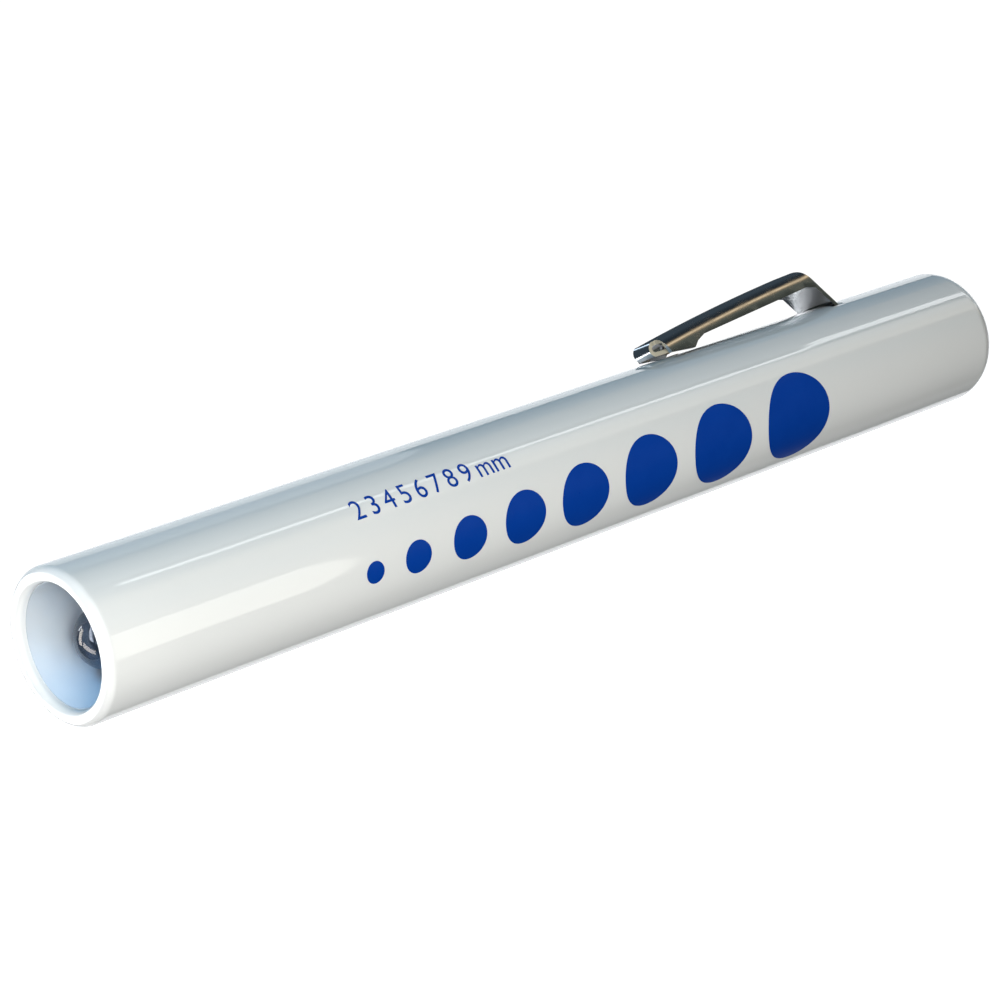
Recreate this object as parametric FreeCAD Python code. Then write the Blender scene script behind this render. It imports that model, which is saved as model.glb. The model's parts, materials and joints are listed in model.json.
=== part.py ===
import FreeCAD, Part
import math
import os

# Disposable diagnostic penlight with a pupil gauge, in millimetres.
# +X runs along the barrel from the light end to the closed rear end, +Z points from the barrel's axis
# to the pocket clip, and the gauge is printed on the -Y side.  The origin is the centre of the light
# opening, in the plane of its rim.

V = FreeCAD.Vector
X_AXIS, Y_AXIS, Z_AXIS = V(1, 0, 0), V(0, 1, 0), V(0, 0, 1)

# ---- driving dimensions ---------------------------------------------------------------------------
BARREL_LENGTH = 115.0
BARREL_R = 6.8
BORE_R = 5.38
RIM_OUTER_ROUND = 0.8
RIM_INNER_ROUND = 0.6
REAR_ROUND = 2.4
REAR_WALL = 2.0

LAMP_DROP = 0.4              # the lamp sits a little below the barrel's axis
LENS_R = 2.77                # the lens end of the glass is half a ball
LENS_CENTRE_X = 4.85
GLASS_WALL = 0.45
LENS_DEPTH = 1.0             # how much thicker the nose is than the tube's wall
LAMP_CLEARANCE = 0.08
LAMP_CUP_WALL = 0.28
LAMP_CUP_X = 5.35            # the cup's front edge hides behind the holder's lip
LAMP_FLANGE_X = 9.4
LAMP_BASE_END_X = 14.2
CEMENT_FRONT_X = 10.45
INSULATOR_END_X = 15.2
LAMP_TIP_X = 16.2            # where the lamp's solder tip meets the front cell
FILAMENT_X = 7.0
FILAMENT_HALF = 0.9          # half the filament's span
BEAD_R = 0.9
BEAD_FRONT_X = 9.2
WIRE_R = 0.09                # support wires
WIRE_SPREAD = 0.45           # where they leave the bead, off its middle

CELL_LENGTH = 44.5           # size AAA
CELL_R = 5.15
CELL_NUB_R = 1.9
CELL_NUB_HEIGHT = 0.8
CELL_CAN_WALL = 0.25
CELL_JACKET = 0.08

SPRING_WIRE = 0.5
SPRING_COIL_R = 3.5
SPRING_TURNS = 4.0
CONTACT_PLATE = 0.4

STRIP_WIDTH = 2.0            # brass strip from the lamp's flange to the switch rivet
STRIP_THICKNESS = 0.3
STRIP_TOP_Z = 5.9
SWITCH_X = 75.6              # the rivet under the clip's tip
STRIP_END_X = SWITCH_X + 1.8
RIVET_HEAD_R = 1.0
RIVET_SHANK_R = 0.6
RIVET_SEAT_Z = 6.62
RIVET_TOP_Z = 6.8

CLIP_WIDTH = 4.8
CLIP_SHEET = 0.42
CLIP_SHOULDER_R = 1.25
CLIP_BEND_R = 0.9
CLIP_CROWN = [(73.0, 8.62), (83.5, 9.92), (94.0, 10.83)]     # outer face of the arm: x, z
LEG_TOP = (94.72, 10.20)     # two points on the leg's front face: x, z
LEG_FOOT = (98.07, 5.85)
HINGE = (98.36, 6.05)        # where the leg flexes, in the barrel's wall
LUG_FRONT_X = 73.4           # the shoulders end here; only a narrow web runs on into the rolled tip
HOOK_OUTER_R = 0.75          # the tip is rolled under
HOOK_X = 73.05
TONGUE_END_X = 77.0
SLOT_X = (97.15, 98.95)      # the slot in the wall that the leg stands in
TAIL_TOP_Z = 5.75
TAIL_THICKNESS = 0.3

DOTS = [(2, 28.3), (3, 33.3), (4, 39.45), (5, 46.25), (6, 53.9), (7, 62.55), (8, 72.5), (9, 83.4)]  # size, x
DOT_ANGLE = 115.6            # degrees from +Z towards -Y
INK_THICKNESS = 0.03

# ---- sizes that follow ----------------------------------------------------------------------------
REAR_FACE_X = BARREL_LENGTH - REAR_WALL
FRONT_CELL_X = LAMP_TIP_X
REAR_CELL_X = FRONT_CELL_X + CELL_LENGTH
CELLS_END_X = REAR_CELL_X + CELL_LENGTH
HOLDER_R = BORE_R - 0.02
HOLDER_FRONT_X = 0.85
HOLDER_FLOOR_X = 5.0
HOLDER_END_X = 14.6


def on_lamp_axis(x):
    return V(x, 0, -LAMP_DROP)


def rod(radius, x_start, x_end, centre_z=0.0):
    return Part.makeCylinder(radius, x_end - x_start, V(x_start, 0, centre_z), X_AXIS)


def block(x_range, y_half, z_range):
    corner = V(x_range[0], -y_half, z_range[0])
    return Part.makeBox(x_range[1] - x_range[0], 2 * y_half, z_range[1] - z_range[0], corner)


def turned(outline, centre_z=0.0):
    """Solid of revolution about the X direction; the outline is a list of (x, radius)."""
    points = [V(x, 0, centre_z + radius) for x, radius in outline]
    face = Part.Face(Part.makePolygon(points + points[:1]))
    return face.revolve(V(0, 0, centre_z), X_AXIS, 360)


def side_plate(edges, y_half):
    """Flat outline in the XZ plane, given as edges, made into a plate centred on y = 0."""
    face = Part.Face(Part.Wire(edges))
    face.translate(V(0, -y_half, 0))
    return face.extrude(V(0, 2 * y_half, 0))


def side_polygon(points, y_half):
    corners = [V(x, 0, z) for x, z in points]
    return side_plate(Part.makePolygon(corners + corners[:1]).Edges, y_half)


def circle_edges(shape, radius, x):
    """The round edges of a turned part with this radius, in the plane at x."""
    return [e for e in shape.Edges if isinstance(e.Curve, Part.Circle)
            and abs(e.Curve.Radius - radius) < 1e-6 and abs(e.CenterOfMass.x - x) < 1e-6]


# ---- barrel ---------------------------------------------------------------------------------------
def barrel():
    body = rod(BARREL_R, 0, BARREL_LENGTH)
    body = body.makeFillet(REAR_ROUND, circle_edges(body, BARREL_R, BARREL_LENGTH))
    body = body.makeFillet(RIM_OUTER_ROUND, circle_edges(body, BARREL_R, 0))
    body = body.cut(rod(BORE_R, 0, REAR_FACE_X))
    body = body.makeFillet(RIM_INNER_ROUND, circle_edges(body, BORE_R, 0))
    strip_run = (LAMP_FLANGE_X - 0.3, STRIP_END_X + 0.4)
    strip_groove = block(strip_run, STRIP_WIDTH / 2 + 0.1, (4.5, STRIP_TOP_Z + 0.05))
    tail_groove = block((SLOT_X[0] + 0.25, REAR_FACE_X), CLIP_WIDTH / 2 + 0.1, (4.0, TAIL_TOP_Z + 0.05))
    leg_slot = block(SLOT_X, CLIP_WIDTH / 2 + 0.12, (4.5, 8.0))
    rivet_hole = Part.makeCylinder(RIVET_SHANK_R + 0.02, 4, V(SWITCH_X, 0, 4), Z_AXIS)
    rivet_seat = Part.makeCylinder(RIVET_HEAD_R + 0.03, 2, V(SWITCH_X, 0, RIVET_SEAT_Z - 0.02), Z_AXIS)
    for cutter in (strip_groove, tail_groove, leg_slot, rivet_hole, rivet_seat):
        body = body.cut(cutter)
    return body


def gauge_dots():
    """Round spots of ink, true to size when measured along the curved wall."""
    skin = rod(BARREL_R + INK_THICKNESS, 0, BARREL_LENGTH).cut(rod(BARREL_R + 0.003, -1, BARREL_LENGTH + 1))
    centre_angle = math.radians(DOT_ANGLE)
    dots = []
    for diameter, centre_x in DOTS:
        rings = []
        for radius in (BARREL_R - 0.3, BARREL_R + 0.3):
            ring = []
            for step in range(32):
                turn = 2 * math.pi * step / 32
                angle = centre_angle + diameter / 2 * math.sin(turn) / BARREL_R
                x = centre_x + diameter / 2 * math.cos(turn)
                ring.append(V(x, -radius * math.sin(angle), radius * math.cos(angle)))
            curve = Part.BSplineCurve()
            curve.interpolate(ring, PeriodicFlag=True)
            rings.append(curve.toShape())
        wall = Part.makeRuledSurface(rings[0], rings[1])
        pieces = skin.generalFuse([wall])[0].Solids
        dots.append(min(pieces, key=lambda piece: piece.Volume))
    return Part.makeCompound(dots)


# ---- lamp and its holder --------------------------------------------------------------------------
def lamp_holder():
    """White insert: a cone in front, the lamp's bore through it, and a skirt round the lamp's base."""
    lip_r = LENS_R + LAMP_CLEARANCE
    cup_bore_r = LENS_R + LAMP_CUP_WALL + 0.05
    body = turned([(HOLDER_FRONT_X, HOLDER_R - 0.08), (HOLDER_FRONT_X, HOLDER_R), (HOLDER_END_X, HOLDER_R),
                   (HOLDER_END_X, 0), (HOLDER_FLOOR_X, 0), (HOLDER_FLOOR_X, lip_r + LAMP_DROP + 0.1)])
    body = body.cut(rod(lip_r, 0, HOLDER_END_X + 1, -LAMP_DROP))
    body = body.cut(rod(cup_bore_r, LAMP_CUP_X - 0.05, HOLDER_END_X + 1, -LAMP_DROP))
    body = body.cut(rod(4.5, LAMP_FLANGE_X, HOLDER_END_X + 1, -LAMP_DROP))
    return body.cut(block((LAMP_FLANGE_X, HOLDER_END_X + 1), STRIP_WIDTH / 2 + 0.15, (3.0, 7.0)))


def lamp_glass():
    """Lens-end envelope: a thick ball-shaped nose on a thin tube."""
    outer = Part.makeSphere(LENS_R, on_lamp_axis(LENS_CENTRE_X))
    outer = outer.fuse(rod(LENS_R, LENS_CENTRE_X, CEMENT_FRONT_X - 0.05, -LAMP_DROP)).removeSplitter()
    inner_r, inner_x = LENS_R - GLASS_WALL, LENS_CENTRE_X + LENS_DEPTH
    hollow = Part.makeSphere(inner_r, on_lamp_axis(inner_x))
    hollow = hollow.fuse(rod(inner_r, inner_x, CEMENT_FRONT_X + 1, -LAMP_DROP)).removeSplitter()
    return outer.cut(hollow)


def lamp_base():
    """Drawn cup round the glass, with the flange that seats the lamp against its holder."""
    inner_r = LENS_R + 0.02
    cup_r = LENS_R + LAMP_CUP_WALL
    flange_r, sheet = 4.4, 0.3
    front, end = LAMP_FLANGE_X + 0.02, LAMP_BASE_END_X
    return turned([(LAMP_CUP_X, inner_r), (LAMP_CUP_X, cup_r), (front, cup_r), (front, flange_r),
                   (front + sheet, flange_r), (front + sheet, cup_r), (end - 0.5, cup_r),
                   (end, 2.4), (end, 1.9), (end - 0.55, inner_r)], -LAMP_DROP)


def lamp_cement():
    """Basing cement that holds the glass in the cup."""
    bore_r, front, end = BEAD_R + 0.05, CEMENT_FRONT_X, LAMP_BASE_END_X - 0.6
    return turned([(front, bore_r), (front, LENS_R), (end, LENS_R), (end, bore_r)], -LAMP_DROP)


def lamp_bead():
    """Glass stem that the support wires are fused into."""
    bead = rod(BEAD_R, BEAD_FRONT_X, LAMP_BASE_END_X - 0.65, -LAMP_DROP)
    return bead.makeFillet(0.3, circle_edges(bead, BEAD_R, BEAD_FRONT_X))


def lamp_wires():
    """Two stiff wires that rise out of the bead and carry the filament between their tips."""
    wires = []
    for side in (-1, 1):
        root = V(BEAD_FRONT_X - 0.1, side * WIRE_SPREAD, -LAMP_DROP)
        knee = V(BEAD_FRONT_X - 0.8, side * FILAMENT_HALF, -LAMP_DROP)
        tip = V(FILAMENT_X - 0.1, side * (FILAMENT_HALF + 0.1), -LAMP_DROP)
        lower = Part.makeCylinder(WIRE_R, (knee - root).Length, root, knee - root)
        upper = Part.makeCylinder(WIRE_R, (tip - knee).Length, knee, tip - knee)
        wires.append(lower.fuse([upper, Part.makeSphere(WIRE_R, knee)]))
    return Part.makeCompound(wires)


def lamp_filament():
    """Coiled tungsten wire across the tips of the two support wires."""
    turns = 9
    length = 2 * (FILAMENT_HALF - 0.05)
    spine = Part.makeHelix(length / turns, length, 0.17)
    section = Part.Wire(Part.makeCircle(0.05, V(0.17, 0, 0), Y_AXIS))
    coil = Part.Wire(spine.Edges).makePipeShell([section], True, True)
    coil.rotate(V(0, 0, 0), X_AXIS, -90)
    coil.translate(V(FILAMENT_X, -length / 2, -LAMP_DROP))
    return coil


def lamp_insulator():
    """Black ring between the cup and the solder contact."""
    front, rim, end = LAMP_BASE_END_X - 0.45, LAMP_BASE_END_X + 0.02, INSULATOR_END_X
    bore_r = BEAD_R + 0.05
    return turned([(front, bore_r), (front, 1.88), (rim, 1.88), (rim, 2.3), (end, 1.9), (end, bore_r)],
                  -LAMP_DROP)


def lamp_tip():
    """Solder contact: a stem through the insulator and a domed button."""
    stem = rod(BEAD_R, LAMP_BASE_END_X - 0.6, INSULATOR_END_X, -LAMP_DROP)
    button = rod(1.5, INSULATOR_END_X, LAMP_TIP_X, -LAMP_DROP)
    button = button.makeFillet(0.6, circle_edges(button, 1.5, LAMP_TIP_X))
    return stem.fuse(button).removeSplitter()


# ---- electrical path ------------------------------------------------------------------------------
def contact_strip():
    """Brass strip in the wall's groove, with a tab that bears on the back of the lamp's flange."""
    tab_x = LAMP_FLANGE_X + 0.34
    run = block((tab_x, STRIP_END_X), STRIP_WIDTH / 2, (STRIP_TOP_Z - STRIP_THICKNESS, STRIP_TOP_Z))
    tab = block((tab_x, tab_x + STRIP_THICKNESS), STRIP_WIDTH / 2, (3.2, STRIP_TOP_Z))
    strip = run.fuse(tab).removeSplitter()
    bend = [e for e in strip.Edges if abs(e.CenterOfMass.x - tab_x) < 1e-6
            and abs(e.CenterOfMass.z - STRIP_TOP_Z) < 1e-6]
    return strip.makeFillet(STRIP_THICKNESS * 0.9, bend)


def contact_rivet():
    """Brass rivet under the clip's tip; its shank stands on the strip."""
    foot_z = STRIP_TOP_Z + 0.01
    shank = Part.makeCylinder(RIVET_SHANK_R, RIVET_SEAT_Z + 0.03 - foot_z, V(SWITCH_X, 0, foot_z), Z_AXIS)
    head = Part.makeCylinder(RIVET_HEAD_R, RIVET_TOP_Z - RIVET_SEAT_Z, V(SWITCH_X, 0, RIVET_SEAT_Z), Z_AXIS)
    top = [e for e in head.Edges if abs(e.CenterOfMass.z - RIVET_TOP_Z) < 1e-6 and e.Closed]
    return shank.fuse(head.makeFillet(0.15, top)).removeSplitter()


def cell_parts(x):
    """One AAA cell, its positive nub towards the lamp at x, as it comes apart on a bench."""
    shoulder, end = x + CELL_NUB_HEIGHT, x + CELL_LENGTH
    can_r = CELL_R - CELL_JACKET
    can_bore, crimp_r = can_r - CELL_CAN_WALL, can_r - 0.6
    seal_r, plate_r = crimp_r - 0.03, 3.7
    can = turned([(x, 0), (x, CELL_NUB_R - 0.25), (x + 0.25, CELL_NUB_R), (shoulder, CELL_NUB_R),
                  (shoulder, can_r - 0.4), (shoulder + 0.4, can_r), (end - 0.5, can_r),
                  (end - 0.2, can_r - 0.35), (end - 0.2, crimp_r), (end - 1.4, crimp_r),
                  (end - 1.4, can_bore), (shoulder + CELL_CAN_WALL, can_bore), (shoulder + CELL_CAN_WALL, 0)])
    jacket = turned([(shoulder + 0.55, can_r + 0.005), (shoulder + 0.55, CELL_R), (end - 0.6, CELL_R),
                     (end - 0.6, can_r + 0.005)])
    seal = turned([(end - 1.35, plate_r), (end - 1.35, seal_r), (end - 0.25, seal_r), (end - 0.25, plate_r)])
    plate = turned([(end - 0.9, 0), (end - 0.9, plate_r - 0.04), (end - 0.35, plate_r - 0.04),
                    (end - 0.35, 3.1), (end, 2.9), (end, 0)])
    core = rod(can_bore - 0.02, shoulder + CELL_CAN_WALL + 0.05, end - 1.9)
    return {"can": can, "jacket": jacket, "core": core, "seal": seal, "end_plate": plate}


def battery_spring():
    """Closed coil between the rear cell and the contact plate."""
    start = CELLS_END_X + SPRING_WIRE / 2 + 0.02
    length = REAR_FACE_X - CONTACT_PLATE - 0.02 - SPRING_WIRE / 2 - start
    spine = Part.makeHelix(length / SPRING_TURNS, length, SPRING_COIL_R)
    section = Part.Wire(Part.makeCircle(SPRING_WIRE / 2, V(SPRING_COIL_R, 0, 0), Y_AXIS))
    coil = Part.Wire(spine.Edges).makePipeShell([section], True, True)
    coil.rotate(V(0, 0, 0), Y_AXIS, 90)
    coil.translate(V(start, 0, 0))
    ends = [ring_of_wire(start), ring_of_wire(start + length)]
    return coil.fuse(ends)


def ring_of_wire(x):
    """The closed end turn of the spring."""
    return Part.makeTorus(SPRING_COIL_R, SPRING_WIRE / 2, V(x, 0, 0), X_AXIS)


def rear_contact():
    """Plate on the barrel's rear wall, with a raised middle that centres the spring."""
    front = REAR_FACE_X - CONTACT_PLATE
    plate = rod(BORE_R - 0.18, front, REAR_FACE_X - 0.005)
    boss = rod(SPRING_COIL_R - SPRING_WIRE / 2 - 0.15, front - 0.6, front)
    return plate.fuse(boss).removeSplitter()


# ---- pocket clip ----------------------------------------------------------------------------------
def under_crown(drop, y_half):
    """Bar whose top is the arm's arched outer line, lowered by drop and carried on past the bend."""
    first, middle, last = [V(x, 0, z - drop) for x, z in CLIP_CROWN]
    circle = Part.Circle(first, middle, last)
    far_x = LEG_FOOT[0]
    far = V(far_x, 0, circle.Center.z + math.sqrt(circle.Radius ** 2 - (far_x - circle.Center.x) ** 2))
    low_far, low_first = V(far_x, 0, 4.0), V(first.x, 0, 4.0)
    outline = [Part.Arc(first, middle, far).toShape(), Part.makeLine(far, low_far),
               Part.makeLine(low_far, low_first), Part.makeLine(low_first, first)]
    return side_plate(outline, y_half)


def leg_point(z, behind=0.0):
    """A point on the leg's front face at height z, or on a parallel face behind it."""
    slope = (LEG_FOOT[0] - LEG_TOP[0]) / (LEG_FOOT[1] - LEG_TOP[1])
    run = math.hypot(1, slope)
    return (LEG_TOP[0] + (z - LEG_TOP[1]) * slope + behind * run, z)


def bent_bar(inset):
    """Bar under the arm and ahead of the leg, its shoulders and its bend rounded, inset on every side."""
    y_half = CLIP_WIDTH / 2 - inset
    bar = under_crown(inset, y_half)
    shoulders = [e for e in bar.Edges if abs(abs(e.CenterOfMass.y) - y_half) < 1e-6
                 and isinstance(e.Curve, Part.Circle)]
    bar = bar.makeFillet(CLIP_SHOULDER_R - inset, shoulders)
    face_x = CLIP_SHEET - inset
    wedge = side_polygon([(60, 0), leg_point(0, face_x), leg_point(14, face_x), (60, 14)], 6)
    limit = wedge.common(under_crown(inset, 6))
    bend = [e for e in limit.Edges if e.CenterOfMass.z > 9 and e.CenterOfMass.x > 90
            and abs(e.CenterOfMass.y) < 1e-6]
    return bar.common(limit.makeFillet(CLIP_BEND_R - inset, bend))


def clip_sheet():
    """The bent sheet before its edges are trimmed: rounded channel in front, flat leg behind."""
    return bent_bar(0.0).cut(bent_bar(CLIP_SHEET))


def clip_trim():
    """What the press leaves: flanges with front lugs, the leg to its root, and the nose's narrow web."""
    outline = [(LUG_FRONT_X, 9.6), (LUG_FRONT_X, 8.2), (73.9, 7.08), (77.1, 6.80), (77.75, 7.35),
               (78.8, 7.77), (94.6, 8.98), leg_point(8.7), leg_point(HINGE[1]),
               leg_point(HINGE[1], CLIP_SHEET),
               leg_point(9.0, CLIP_SHEET + 1.0), (97.0, 12.0), (LUG_FRONT_X, 12.0)]
    web = block((72.6, LUG_FRONT_X + 0.5), CLIP_WIDTH / 2 - CLIP_SHOULDER_R, (8.0, 9.6))
    return side_polygon(outline, CLIP_WIDTH).fuse(web)


def clip_hook():
    """Rolled tip and the tongue that returns under the arm, with the contact dimple."""
    centre_z = CLIP_CROWN[0][1] - HOOK_OUTER_R + 0.02
    inner_r = HOOK_OUTER_R - CLIP_SHEET
    y_half = CLIP_WIDTH / 2 - CLIP_SHOULDER_R
    roll = Part.makeCylinder(HOOK_OUTER_R, 2 * y_half, V(HOOK_X, -y_half, centre_z), Y_AXIS)
    eye = Part.makeCylinder(inner_r, 2 * y_half, V(HOOK_X, -y_half, centre_z), Y_AXIS)
    roll = roll.cut(eye).cut(block((HOOK_X, HOOK_X + 2), 5, (5, 10)))
    low = centre_z - HOOK_OUTER_R
    tongue = block((HOOK_X, TONGUE_END_X), y_half, (low, low + CLIP_SHEET))
    dimple = Part.makeSphere(0.6, V(SWITCH_X, 0, low + 0.5))
    return roll.fuse([tongue, dimple]).removeSplitter()


def pocket_clip():
    channel = clip_sheet().common(clip_trim())
    root_r = CLIP_SHEET / 2
    foot = leg_point(HINGE[1], root_r)
    root = Part.makeCylinder(root_r, CLIP_WIDTH, V(foot[0], -CLIP_WIDTH / 2, HINGE[1]), Y_AXIS)
    return channel.fuse([root, clip_hook()]).removeSplitter()


def clip_tail():
    """Tail of the clip's strip inside the barrel: along the groove, then down to the contact plate."""
    end = REAR_FACE_X - CONTACT_PLATE - 0.01
    run = block((SLOT_X[0] + 0.45, end), CLIP_WIDTH / 2, (TAIL_TOP_Z - TAIL_THICKNESS, TAIL_TOP_Z))
    tab = block((end - TAIL_THICKNESS, end), 1.5, (3.9, TAIL_TOP_Z))
    return run.fuse(tab).removeSplitter()


# ---- the nodes ------------------------------------------------------------------------------------
def all_nodes():
    nodes = {
        "barrel": barrel(),
        "gauge_dots": gauge_dots(),
        "lamp_holder": lamp_holder(),
        "lamp_glass": lamp_glass(),
        "lamp_base": lamp_base(),
        "lamp_cement": lamp_cement(),
        "lamp_bead": lamp_bead(),
        "lamp_wires": lamp_wires(),
        "lamp_filament": lamp_filament(),
        "lamp_insulator": lamp_insulator(),
        "lamp_tip": lamp_tip(),
        "contact_strip": contact_strip(),
        "contact_rivet": contact_rivet(),
        "battery_spring": battery_spring(),
        "rear_contact": rear_contact(),
        "clip_tail": clip_tail(),
        "pocket_clip": pocket_clip(),
    }
    for name, x in (("front_cell", FRONT_CELL_X), ("rear_cell", REAR_CELL_X)):
        for part, shape in cell_parts(x).items():
            nodes[name + "_" + part] = shape
    return nodes


os.makedirs("parts", exist_ok=True)
for node, shape in all_nodes().items():
    shape.exportStep("parts/" + node + ".step")
    print(node, len(shape.Solids), "solids, valid", shape.isValid(), "volume", round(shape.Volume, 3))
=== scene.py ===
import json
import math

import bmesh
import bpy
from mathutils import Matrix, Vector


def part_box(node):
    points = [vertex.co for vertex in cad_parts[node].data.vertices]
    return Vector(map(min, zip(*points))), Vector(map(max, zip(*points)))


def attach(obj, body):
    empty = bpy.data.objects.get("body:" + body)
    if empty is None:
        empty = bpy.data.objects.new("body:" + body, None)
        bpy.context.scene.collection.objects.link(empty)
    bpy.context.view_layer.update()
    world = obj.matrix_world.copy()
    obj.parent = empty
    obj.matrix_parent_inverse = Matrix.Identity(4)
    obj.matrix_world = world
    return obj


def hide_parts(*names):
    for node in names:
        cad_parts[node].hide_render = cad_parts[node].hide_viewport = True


# Looks of a disposable diagnostic penlight with a pupil gauge.  Pieces are modelled in millimetres in the
# frame's axes and brought to metres when they are finished: +X runs from the light to the closed end, +Z
# points to the pocket clip, and the gauge is printed on the -Y side.

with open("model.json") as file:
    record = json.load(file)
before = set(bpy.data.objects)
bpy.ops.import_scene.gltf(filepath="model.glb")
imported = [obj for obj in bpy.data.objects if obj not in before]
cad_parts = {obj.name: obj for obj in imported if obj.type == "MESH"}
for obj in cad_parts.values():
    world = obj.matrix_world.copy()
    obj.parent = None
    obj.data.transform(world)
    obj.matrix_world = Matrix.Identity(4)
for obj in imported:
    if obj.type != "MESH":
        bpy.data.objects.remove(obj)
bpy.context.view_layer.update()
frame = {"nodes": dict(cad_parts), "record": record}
MM = 0.001

# ---- sizes, in millimetres -------------------------------------------------------------------------


def box_of(node):
    low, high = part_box(node)
    return low / MM, high / MM


BARREL_LOW, BARREL_HIGH = box_of("barrel")
LENGTH = BARREL_HIGH.x
BARREL_R = -BARREL_LOW.z
BORE_R = 5.38
REAR_WALL = 2.0
RIM_OUTER_ROUND = 0.8
RIM_INNER_ROUND = 0.6
REAR_ROUND = 2.4
WALL_RINGS = (9.0, 40.0, 73.5, 78.5, 96.5, 99.5)       # where the wall's long faces are split

GLASS_LOW, GLASS_HIGH = box_of("lamp_glass")
LENS_R = (GLASS_HIGH.z - GLASS_LOW.z) / 2
LAMP_Z = (GLASS_HIGH.z + GLASS_LOW.z) / 2
LENS_X = GLASS_LOW.x + LENS_R
GLASS_WALL = 0.45
LENS_DEPTH = 1.0        # how much thicker the glass is at its nose
LAMP_CLEARANCE = 0.08
CUP_ROOM = 0.33         # from the glass's side to the bore for its metal cup

HOLDER_LOW, HOLDER_HIGH = box_of("lamp_holder")
HOLDER_R = HOLDER_HIGH.z
HOLDER_FLOOR_X = 5.0
HOLDER_LAND = 0.08      # flat ring round the mouth of its cone
FLANGE_BORE_R = 4.5
CUP_X = box_of("lamp_base")[0].x
FLANGE_X = 9.4

STRIP_HIGH = box_of("contact_strip")[1]
TAIL_HIGH = box_of("clip_tail")[1]
RIVET_LOW, RIVET_HIGH = box_of("contact_rivet")
SWITCH_X = (RIVET_LOW.x + RIVET_HIGH.x) / 2
RIVET_R = RIVET_HIGH.x - SWITCH_X
RIVET_SHANK_R = 0.6
RIVET_SEAT_Z = 6.62
RIVET_EDGE_ROUND = 0.12
SLOT_X = (97.15, 98.95)

CLIP_HALF = box_of("pocket_clip")[1].y
CLIP_SHEET = 0.42
SHOULDER_R = 1.25
BEND_R = 0.9
CROWN = ((73.0, 8.62), (83.5, 9.92), (94.0, 10.83))        # x and z on the arm's arched top
LEG_TOP = (94.72, 10.20)                                   # two points on the leg's front face
LEG_FOOT = (98.07, 5.85)
LEG_ROOT_Z = 6.05
LUG_FRONT_X = 73.4      # the shoulders end here; only a narrow web runs on into the rolled tip
WEB_HALF = CLIP_HALF - SHOULDER_R
HOOK_R = 0.75           # the tip is rolled under about this centre
HOOK_X = 73.05
HOOK_Z = 7.89
TONGUE_END_X = 77.0
TONGUE_END_ROUND = 0.35
DIMPLE_R = 0.6          # the dimple that meets the rivet
PRESSED_EDGE_ROUND = 0.035

# The gauge's spots: diameter and place along the barrel.  Angles run from +Z towards -Y.
DOTS = ((2, 28.3), (3, 33.3), (4, 39.45), (5, 46.25), (6, 53.9), (7, 62.55), (8, 72.5), (9, 83.4))
DOT_ANGLE = 115.6
LEGEND_X = (28.0, 46.2)
LEGEND_HEIGHT = 1.9
LEGEND_ANGLE = 67.6
INK_LIFT = 0.006
INK_THICKNESS = 0.02

SMOOTH_BELOW = 32       # degrees between faces that shade as one

# ---- modelling -------------------------------------------------------------------------------------


def only(piece):
    bpy.ops.object.select_all(action="DESELECT")
    piece.select_set(True)
    bpy.context.view_layer.objects.active = piece


def begin(name, add, **how):
    """A new primitive at its place, with the object itself left at the origin."""
    bpy.ops.object.select_all(action="DESELECT")
    add(**how)
    piece = bpy.context.active_object
    piece.name = piece.data.name = name
    settle(piece)
    return piece


def settle(piece):
    only(piece)
    bpy.ops.object.transform_apply(location=True, rotation=True, scale=True)


def block(name, x_range, y_half, z_range):
    size = (x_range[1] - x_range[0], 2 * y_half, z_range[1] - z_range[0])
    centre = (sum(x_range) / 2, 0, sum(z_range) / 2)
    return begin(name, bpy.ops.mesh.primitive_cube_add, size=1, location=centre, scale=size)


def rod(name, radius, x_range, z=0.0, steps=128):
    return begin(name, bpy.ops.mesh.primitive_cylinder_add, vertices=steps, radius=radius,
                 depth=x_range[1] - x_range[0], location=(sum(x_range) / 2, 0, z),
                 rotation=(0, math.pi / 2, 0))


def stud(name, radius, z_range, x, steps=64):
    return begin(name, bpy.ops.mesh.primitive_cylinder_add, vertices=steps, radius=radius,
                 depth=z_range[1] - z_range[0], location=(x, 0, sum(z_range) / 2))


class Bench:
    """Edit mode on one piece; its parts are picked by a test on each."""

    def __init__(self, piece):
        self.piece = piece

    def __enter__(self):
        only(self.piece)
        bpy.ops.object.mode_set(mode="EDIT")
        return self

    def __exit__(self, *problem):
        bpy.ops.object.mode_set(mode="OBJECT")

    def pick(self, kind, test=None):
        bpy.ops.mesh.select_mode(type=kind)
        bpy.ops.mesh.select_all(action="DESELECT")
        mesh = bmesh.from_edit_mesh(self.piece.data)
        parts = {"VERT": mesh.verts, "EDGE": mesh.edges, "FACE": mesh.faces}[kind]
        for part in parts:
            if test is None or test(part):
                part.select_set(True)
        bmesh.update_edit_mesh(self.piece.data)

    def bevel(self, offset, segments):
        bpy.ops.mesh.bevel(offset_type="OFFSET", offset=offset, segments=segments, profile=0.5,
                           affect="EDGES", clamp_overlap=False)

    def slice(self, point, normal):
        self.pick("FACE")
        bpy.ops.mesh.bisect(plane_co=point, plane_no=normal, threshold=1e-5)

    def extrude(self, shift):
        bpy.ops.mesh.extrude_region_move(TRANSFORM_OT_translate={"value": shift})

    def tidy(self, gap=0.0005):
        self.pick("VERT")
        bpy.ops.mesh.remove_doubles(threshold=gap)
        bpy.ops.mesh.normals_make_consistent(inside=False)


def finish_with(piece, kind, **settings):
    only(piece)
    modifier = piece.modifiers.new(kind, kind)
    for key, value in settings.items():
        setattr(modifier, key, value)
    bpy.ops.object.modifier_apply(modifier=modifier.name)


def combine(piece, operation, *tools):
    for tool in tools:
        finish_with(piece, "BOOLEAN", operation=operation, object=tool, solver="EXACT")
        bpy.data.objects.remove(tool)


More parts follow.
